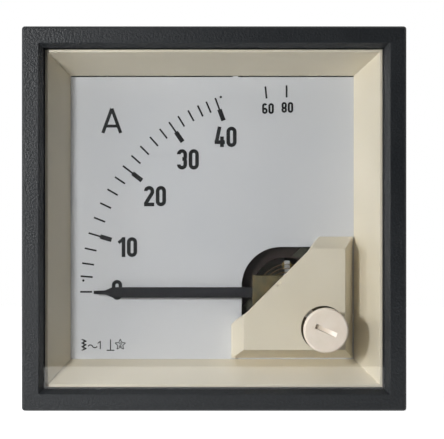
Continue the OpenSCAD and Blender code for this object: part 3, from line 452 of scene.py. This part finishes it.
def addPiece(bm, name, material, body):
    # makes a bmesh a piece of its own that rides on a body
    bmesh.ops.recalc_face_normals(bm, faces=bm.faces)
    mesh = bpy.data.meshes.new(name)
    bm.to_mesh(mesh)
    bm.free()
    piece = bpy.data.objects.new(name, mesh)
    bpy.context.scene.collection.objects.link(piece)
    mesh.materials.append(material)
    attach(piece, body)
    return piece


def finishPrint(bm, name):
    # moves a print from the plane y = 0 on to the scale
    bmesh.ops.translate(bm, verts=bm.verts, vec=(0, scaleFace, 0))
    return addPiece(bm, name, ink, "case")


def addBar(bm, angle, fromR, toR, width):
    # a bar of ink along a ray from the pivot
    size = ((toR - fromR) * mm, printing["film"] * mm, width * mm)
    place = (Matrix.Translation((pivot.x, -size[1] / 2, pivot.z))
             @ Matrix.Rotation(math.radians(angle), 4, "Y")
             @ Matrix.Translation((-(fromR + toR) / 2 * mm, 0, 0))
             @ Matrix.Diagonal((*size, 1)))
    bmesh.ops.create_cube(bm, size=1, matrix=place)


def scaleLines():
    bm = bmesh.new()
    inner = printing["outerR"] - printing["lineLen"]
    for value, angle in scaleLaw.items():
        addBar(bm, angle, inner, printing["outerR"], printing["lineW"])
        if value in (10, 20, 30, 40):
            addBar(bm, angle, inner - printing["barLen"], inner, printing["barW"])
    finishPrint(bm, "scaleLines")


def penStroke(start, heading, width, moves):
    # a flat pen: goes straight by a length, or turns by (radius, degrees), left positive
    bm = bmesh.new()
    turn = math.radians(heading)
    forward = Vector((math.cos(turn), 0, math.sin(turn)))
    left = Vector((-forward.z, 0, forward.x))
    at = Vector((start[0], 0, start[1]))
    nib = [bm.verts.new(at + side * width / 2 * left) for side in (-1, 1)]
    edge = bm.edges.new(nib)
    for move in moves:
        if isinstance(move, tuple):
            radius, degrees = move
            centre = at + left * math.copysign(radius, degrees)
            angle = -math.radians(degrees)
            drawn = bmesh.ops.spin(bm, geom=[edge, *edge.verts], cent=centre, axis=(0, 1, 0),
                                   angle=angle, steps=max(3, round(abs(degrees) / 15)))
            edge = next(e for e in drawn["geom_last"] if isinstance(e, bmesh.types.BMEdge))
            around = Matrix.Rotation(angle, 3, "Y")
            at = centre + around @ (at - centre)
            forward = around @ forward
            left = around @ left
        else:
            drawn = bmesh.ops.extrude_edge_only(bm, edges=[edge])["geom"]
            edge = next(e for e in drawn if isinstance(e, bmesh.types.BMEdge))
            bmesh.ops.translate(bm, verts=list(edge.verts), vec=forward * move)
            at = at + forward * move
    bmesh.ops.remove_doubles(bm, verts=bm.verts, dist=1e-4)
    bmesh.ops.recalc_face_normals(bm, faces=bm.faces)
    return bm


def printGlyphs(name, strokes):
    # each stroke is a closed film of ink, a hair above the last where they cross
    whole = bmesh.new()
    for number, stroke in enumerate(strokes):
        bm = penStroke(*stroke)
        film = printing["film"] + 0.002 * (number % 8)
        sheet = bmesh.ops.extrude_face_region(bm, geom=bm.faces[:])
        raised = [v for v in sheet["geom"] if isinstance(v, bmesh.types.BMVert)]
        bmesh.ops.translate(bm, verts=raised, vec=(0, -film, 0))
        bmesh.ops.recalc_face_normals(bm, faces=bm.faces)
        mesh = bpy.data.meshes.new("stroke")
        bm.to_mesh(mesh)
        bm.free()
        whole.from_mesh(mesh)
        bpy.data.meshes.remove(mesh)
    bmesh.ops.scale(whole, vec=(mm, mm, mm), verts=whole.verts)
    finishPrint(whole, name)


def straight(start, end, pen):
    # one straight stroke between two points
    run, rise = end[0] - start[0], end[1] - start[1]
    return start, math.degrees(math.atan2(rise, run)), pen, [math.hypot(run, rise)]


# A condensed technical figure stands in a box w wide and h high, drawn with a pen p wide.
# Each function gives its strokes as (start, heading, pen, moves) from the lower left.


def figureZero(x, z, w, h, p):
    r = (w - p) / 2
    side = h - p - 2 * r
    return [((x + p / 2, z + h / 2), 90, p, [side / 2, (r, -180), side, (r, -180), side / 2])]


def figureOne(x, z, w, h, p):
    stem = x + w - p / 2
    return [((stem, z), 90, p, [h]), ((stem, z + h - p * 0.45), 218, p * 0.85, [w * 1.05])]


def figureTwo(x, z, w, h, p):
    r = (w - p) / 2
    top = z + h - p / 2 - r
    lean = math.degrees(math.atan2(top - z - p - 0.05 * h, w - p))
    length = math.hypot(top - z - p * 0.6, w - p)
    return [
        ((x + p / 2, top), 90, p, [(r, -180), h * 0.04, (r * 0.9, lean - 90), length * 0.86]),
        ((x, z + p / 2), 0, p, [w]),
    ]


def figureThree(x, z, w, h, p):
    r = (w - p) / 2
    low = z + p / 2 + r
    high = z + h - p / 2 - r
    waist = z + h * 0.52
    bend = r * 0.55
    return [
        ((x + p / 2, high), 90, p, [(r, -180), high - waist - bend, (bend, -90), r * 0.35]),
        ((x + p / 2, low), 270, p, [(r, 180), waist - low - bend, (bend, 90), r * 0.35]),
    ]


def figureFour(x, z, w, h, p):
    stem = x + w * 0.72
    foot = z + h * 0.24
    return [
        ((stem, z), 90, p, [h * 0.52]),
        ((x, foot), 0, p, [w]),
        straight((x + p * 0.5, foot), (x + p * 0.5 + (w * 0.72 - p * 0.6) * 0.62, z + h), p),
    ]


def figureSix(x, z, w, h, p):
    r = (w - p) / 2
    side = h * 0.58 - p - 2 * r
    foot = (x + p / 2, z + p / 2 + r)
    return [
        ((foot[0], foot[1] + side / 2), 90, p,
         [side / 2, (r, -180), side, (r, -180), side / 2]),
        (foot, 90, p, [h - p - 2 * r, (r, -150)]),
    ]


def figureEight(x, z, w, h, p):
    r = (w - p) / 2
    small = r * 0.94
    lower = h * 0.54 - p
    sideLow = lower - 2 * r
    sideHigh = h * 0.46 - 2 * small
    return [
        ((x + p / 2, z + p / 2 + r + sideLow / 2), 90, p,
         [sideLow / 2, (r, -180), sideLow, (r, -180), sideLow / 2]),
        ((x + p / 2 + r - small, z + lower + p / 2 + small + sideHigh / 2), 90, p,
         [sideHigh / 2, (small, -180), sideHigh, (small, -180), sideHigh / 2]),
    ]


figures = {"0": figureZero, "1": figureOne, "2": figureTwo, "3": figureThree,
           "4": figureFour, "6": figureSix, "8": figureEight}
# each number with the middle of its place, its height, figure width, pen and gap, in mm
numbers = {
    "0": (-18.43, -14.02, 3.85, 2.0, 0.7, 0.3),
    "10": (-16.27, -5.73, 3.85, 1.98, 0.72, 0.3),
    "20": (-11.08, 4.14, 3.95, 1.98, 0.72, 0.3),
    "30": (-4.71, 11.26, 3.95, 1.98, 0.72, 0.3),
    "40": (2.6, 15.62, 3.95, 1.98, 0.72, 0.3),
    "60": (10.8, 21.1, 2.08, 1.06, 0.4, 0.16),
    "80": (14.55, 21.32, 2.08, 1.06, 0.4, 0.16),
}


def scaleNumbers():
    for text, (midX, midZ, height, width, pen, gap) in numbers.items():
        widths = [width * 0.6 if figure == "1" else width for figure in text]
        x = midX - (sum(widths) + gap * (len(text) - 1)) / 2
        strokes = []
        for figure, w in zip(text, widths):
            strokes += figures[figure](x, midZ - height / 2, w, height, pen)
            x += w + gap
        printGlyphs("number" + text, strokes)


unit = {"left": -21.5, "right": -17.4, "foot": 16.36, "top": 21.1, "pen": 0.64, "bar": 1.35,
        "barInset": 0.75}


def unitLetter():
    # the letter A for amperes, thinner than the figures
    pen = unit["pen"]
    peak = ((unit["left"] + unit["right"]) / 2, unit["top"])
    bar = unit["foot"] + unit["bar"]
    printGlyphs("unitLetter", [
        straight((unit["left"] + pen / 2, unit["foot"]), peak, pen),
        straight((unit["right"] - pen / 2, unit["foot"]), peak, pen),
        straight((unit["left"] + unit["barInset"], bar), (unit["right"] - unit["barInset"], bar),
                 pen * 0.9),
    ])


# the signs stand in a row between foot and top; the rest are places along the row, in mm
signs = {
    "pen": 0.2, "finePen": 0.15, "foot": -25.72, "top": -23.6,
    "coilLeft": -25.3, "coilWide": 0.95, "coilTurns": 6, "coreAt": -24.85,
    "wave": (-24.05, -24.95), "waveR": 0.5, "waveTurn": 124,
    "one": (-22.2, -25.5), "oneSize": (0.62, 1.6),
    "baseLine": (-20.45, -18.95), "upright": -19.7,
    "star": (-17.8, -24.62), "starTip": 1.08, "starNotch": 0.5,
    "two": (-18.06, -25.05), "twoSize": (0.52, 0.84),
}


def meterSymbols():
    # usual signs: moving iron, alternating current, class, upright scale, test star
    pen, fine, foot, top = (signs[name] for name in ("pen", "finePen", "foot", "top"))
    turns = signs["coilTurns"]
    teeth = [(signs["coilLeft"] + signs["coilWide"] * (i % 2), top - (top - foot) * i / turns)
             for i in range(turns + 1)]
    coil = [straight(a, b, pen) for a, b in zip(teeth, teeth[1:])]
    coil.append(straight((signs["coreAt"], foot), (signs["coreAt"], top), pen))
    swing, bend = signs["waveTurn"], signs["waveR"]
    wave = [(signs["wave"], swing / 2, pen, [(bend, -swing), (bend, swing)])]
    one = figureOne(*signs["one"], *signs["oneSize"], pen)
    left, right = signs["baseLine"]
    upright = [straight((left, foot), (right, foot), pen),
               straight((signs["upright"], foot), (signs["upright"], top), pen)]
    corners = []
    for i in range(11):  # five tips, five notches and the first tip again
        reach = signs["starNotch"] if i % 2 else signs["starTip"]
        angle = math.radians(36 * i)
        corners.append((signs["star"][0] + reach * math.sin(angle),
                        signs["star"][1] + reach * math.cos(angle)))
    star = [straight(a, b, fine) for a, b in zip(corners, corners[1:])]
    printGlyphs("movingIronSign", coil)
    printGlyphs("alternatingSign", wave)
    printGlyphs("classFigure", one)
    printGlyphs("uprightSign", upright)
    printGlyphs("testStar", star)
    printGlyphs("testFigure", figureTwo(*signs["two"], *signs["twoSize"], fine))


dots = {"places": ((-24.96, -12.2), (1.66, 23.33)), "r": 0.24}


def calibrationDots():
    bm = bmesh.new()
    for x, z in dots["places"]:
        place = (Matrix.Translation((x * mm, -printing["film"] * mm / 2, z * mm))
                 @ Matrix.Rotation(math.radians(90), 4, "X"))
        bmesh.ops.create_cone(bm, cap_ends=True, segments=16, radius1=dots["r"] * mm,
                              radius2=dots["r"] * mm, depth=printing["film"] * mm, matrix=place)
    finishPrint(bm, "calibrationDots")


scaleLines()
scaleNumbers()
unitLetter()
meterSymbols()
calibrationDots()
print("scale printed")


thread = {
    "pitch": 1.0,      # mm, the coarse thread of a 6 mm stud
    "crestR": 2.95,
    "sunk": 0.1,       # how far the ridge goes into the core
    "flanks": (0, 0.36, 0.48, 0.84),  # the ridge's four corners, in parts of the pitch
    "turns": 1.25,
    "steps": 32,       # a turn
}


def studThread(mount, name):
    # the last open turns of the thread, wound on the turned-down end of a stud
    core = mount["dims"]["r_mm"]
    middle = Vector(mount["pos_m"])
    bm = bmesh.new()
    root = core - thread["sunk"]
    radii = (root, thread["crestR"], thread["crestR"], root)
    verts = [bm.verts.new((r, along * thread["pitch"], 0))
             for r, along in zip(radii, thread["flanks"])]
    face = bm.faces.new(verts)
    bmesh.ops.spin(bm, geom=[face, *face.edges, *face.verts], cent=(0, 0, 0), axis=(0, 1, 0),
                   dvec=(0, thread["pitch"] / thread["steps"], 0),
                   angle=math.tau * thread["turns"],
                   steps=round(thread["steps"] * thread["turns"]))
    start = middle.y / mm - mount["dims"]["length_mm"] / 2
    bmesh.ops.translate(bm, verts=bm.verts, vec=(middle.x / mm, start, middle.z / mm))
    bmesh.ops.scale(bm, vec=(mm, mm, mm), verts=bm.verts)
    addPiece(bm, name, finishOf["turned_brass"], "case")


studThread(mounts["terminal_left"], "leftThread")
studThread(mounts["terminal_right"], "rightThread")
print("threads wound")


studio = {
    "floorGap": 0.0002,
    "floorFront": 0.09,     # how far the floor comes forward of the panel
    "floorBack": 0.3,
    "floorHalf": 0.5,
    "floorGlow": 0.95,
    "ambient": 0.02,
}
# each lamp's place and width in metres, and its power in watts
lamps = {
    "windowLight": ((-0.134, -0.227, 0.035), 0.03, 0.5),
    "sideLight": ((-0.256, -0.148, 0.052), 0.12, 0.28),
    "highLight": ((-0.088, -0.242, 0.306), 0.15, 0.13),
}


def paleFloor():
    # a white sheet that ends just in front of the meter, so the pane doesn't mirror it
    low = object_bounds()[0]
    bm = bmesh.new()
    bmesh.ops.create_grid(bm, x_segments=1, y_segments=1, size=1)
    depth = studio["floorFront"] + studio["floorBack"]
    bmesh.ops.scale(bm, vec=(studio["floorHalf"], depth / 2, 1), verts=bm.verts)
    bmesh.ops.translate(bm, verts=bm.verts, vec=(
        0, depth / 2 - studio["floorFront"], low.z - studio["floorGap"]))
    mesh = bpy.data.meshes.new("paleFloor")
    bm.to_mesh(mesh)
    bm.free()
    floor = bpy.data.objects.new("paleFloor", mesh)
    bpy.context.scene.collection.objects.link(floor)
    material, tree, surface, where = newMaterial("whitePaper", {
        "Base Color": hexColor("#f2f2f2"), "Roughness": 0.9})
    fibres = addNode(tree, "ShaderNodeTexNoise", {"Scale": 1 / (2 * mm)}, {"Vector": where})
    tint = addNode(tree, "ShaderNodeValToRGB",
                   {"stops": [(0.3, "#efefee"), (0.7, "#f4f4f3")]}, {"Fac": fibres})
    path = addNode(tree, "ShaderNodeLightPath")
    direct = addNode(tree, "ShaderNodeMath", {"operation": "MAXIMUM"},
                     {0: path.outputs["Is Camera Ray"], 1: path.outputs["Is Glossy Ray"]})
    seen = addNode(tree, "ShaderNodeMath", {"operation": "MAXIMUM"},
                   {0: direct, 1: path.outputs["Is Transmission Ray"]})
    level = addNode(tree, "ShaderNodeMath", {"operation": "MULTIPLY", 1: studio["floorGlow"]},
                    {0: seen})
    glow = addNode(tree, "ShaderNodeEmission", {"Color": (1, 1, 1, 1)}, {"Strength": level})
    both = addNode(tree, "ShaderNodeAddShader", links={0: surface, 1: glow})
    output = next(n for n in tree.nodes if n.type == "OUTPUT_MATERIAL")
    joinUp(tree, surface, {"Base Color": tint})
    joinUp(tree, output, {"Surface": both})
    mesh.materials.append(material)
    floor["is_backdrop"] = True


def roomLight():
    # a white room, with its dark side in front of the pane so that the glass stays clear
    world = bpy.data.worlds.new("room")
    bpy.context.scene.world = world
    world.use_nodes = True
    tree = world.node_tree
    tree.nodes.clear()
    path = addNode(tree, "ShaderNodeLightPath")
    where = addNode(tree, "ShaderNodeTexCoord")
    split = addNode(tree, "ShaderNodeSeparateXYZ", links={0: where.outputs["Generated"]})
    side = addNode(tree, "ShaderNodeMapRange",
                   {"From Min": -0.8, "From Max": -0.3, "To Min": 0.04, "To Max": 1.0,
                    "interpolation_type": "SMOOTHSTEP"},
                   {"Value": split.outputs["Y"]})
    mirrored = addNode(tree, "ShaderNodeMath", {"operation": "MAXIMUM"},
                       {0: path.outputs["Is Glossy Ray"],
                        1: path.outputs["Is Transmission Ray"]})
    soft = addNode(tree, "ShaderNodeBackground",
                   {"Color": (1, 0.995, 0.985, 1), "Strength": studio["ambient"]})
    around = addNode(tree, "ShaderNodeBackground", {"Color": (1, 1, 1, 1)},
                     {"Strength": side})
    white = addNode(tree, "ShaderNodeBackground", {"Color": (1, 1, 1, 1), "Strength": 1.0})
    bounced = addNode(tree, "ShaderNodeMixShader",
                      links={0: mirrored, 1: soft, 2: around})
    mix = addNode(tree, "ShaderNodeMixShader",
                  links={0: path.outputs["Is Camera Ray"], 1: bounced, 2: white})
    addNode(tree, "ShaderNodeOutputWorld", links={"Surface": mix})


def diskLamp(name, at, size, watts):
    lamp = bpy.data.lights.new(name, "AREA")
    lamp.shape = "DISK"
    lamp.size = size
    lamp.energy = watts
    holder = bpy.data.objects.new(name, lamp)
    holder.location = at
    holder.rotation_euler = (-Vector(at)).to_track_quat("-Z", "Y").to_euler()
    bpy.context.scene.collection.objects.link(holder)


viewOf = {
    "distance": 350.0,        # mm in front of the bezel
    "left": 11.0,             # mm left of the meter's middle
    "above": 6.0,             # mm above it
    "width": 83.07,           # mm that the picture spans at the bezel's front
    "middle": (1.46, -0.17),  # point of the front that lies in the picture's middle
}


def frontCamera():
    # looks square at the front from a little to the left and above, with a lens shift
    data = bpy.data.cameras.new("frontCamera")
    data.sensor_width = 36.0
    data.lens = data.sensor_width * viewOf["distance"] / viewOf["width"]
    data.shift_x = (viewOf["middle"][0] + viewOf["left"]) / viewOf["width"]
    data.shift_y = (viewOf["middle"][1] - viewOf["above"]) / viewOf["width"]
    data.clip_start = 0.01
    camera = bpy.data.objects.new("frontCamera", data)
    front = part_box("bezel")[0].y
    camera.location = (-viewOf["left"] * mm, front - viewOf["distance"] * mm,
                       viewOf["above"] * mm)
    camera.rotation_euler = (math.radians(90), 0, 0)
    bpy.context.scene.collection.objects.link(camera)
    bpy.context.scene.camera = camera


paleFloor()
roomLight()
for name, (at, size, watts) in lamps.items():
    diskLamp(name, at, size, watts)
frontCamera()
bpy.context.scene.view_settings.view_transform = "Standard"
print("studio ready")
